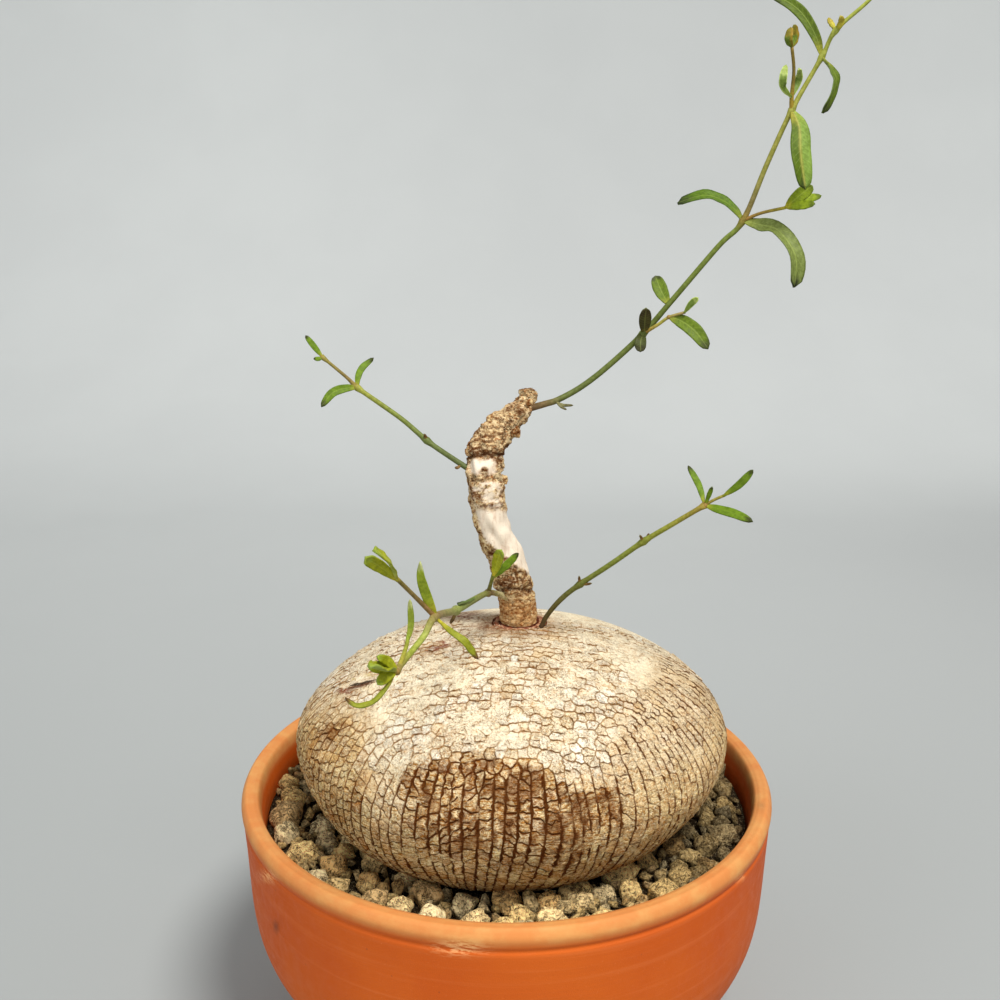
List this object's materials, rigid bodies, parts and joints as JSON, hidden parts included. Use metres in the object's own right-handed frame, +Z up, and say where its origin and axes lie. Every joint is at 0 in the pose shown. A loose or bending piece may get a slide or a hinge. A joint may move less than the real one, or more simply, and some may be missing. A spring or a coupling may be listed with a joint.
{
  "type": "potted plant",
  "caption": "Potted raphionacme: a squat caudex with cracked corky bark, a crooked woody neck and thin leafy shoots, in pumice grit in a terracotta bowl.",
  "frame": {"origin": "centre of the pot's underside, on the plane that the pot stands on", "axes": "+Z up, -Y towards the front view, +X to the right in the front view"},
  "size_m": [0.1782, 0.1693, 0.2999],
  "materials": {
    "pot": "matt terracotta, unglazed",
    "soil": "rough pumice grit",
    "caudex": "corky bark with cracks",
    "trunk": "rough bark",
    "shoot": "living stems and leaves, slightly waxy"
  },
  "bodies": {
    "root": {"pot": "pot", "soil": "soil", "caudex": "caudex", "trunk": "trunk", "shoot_long": "shoot", "shoot_left": "shoot", "shoot_right": "shoot", "shoot_front": "shoot"}
  },
  "joints": []
}
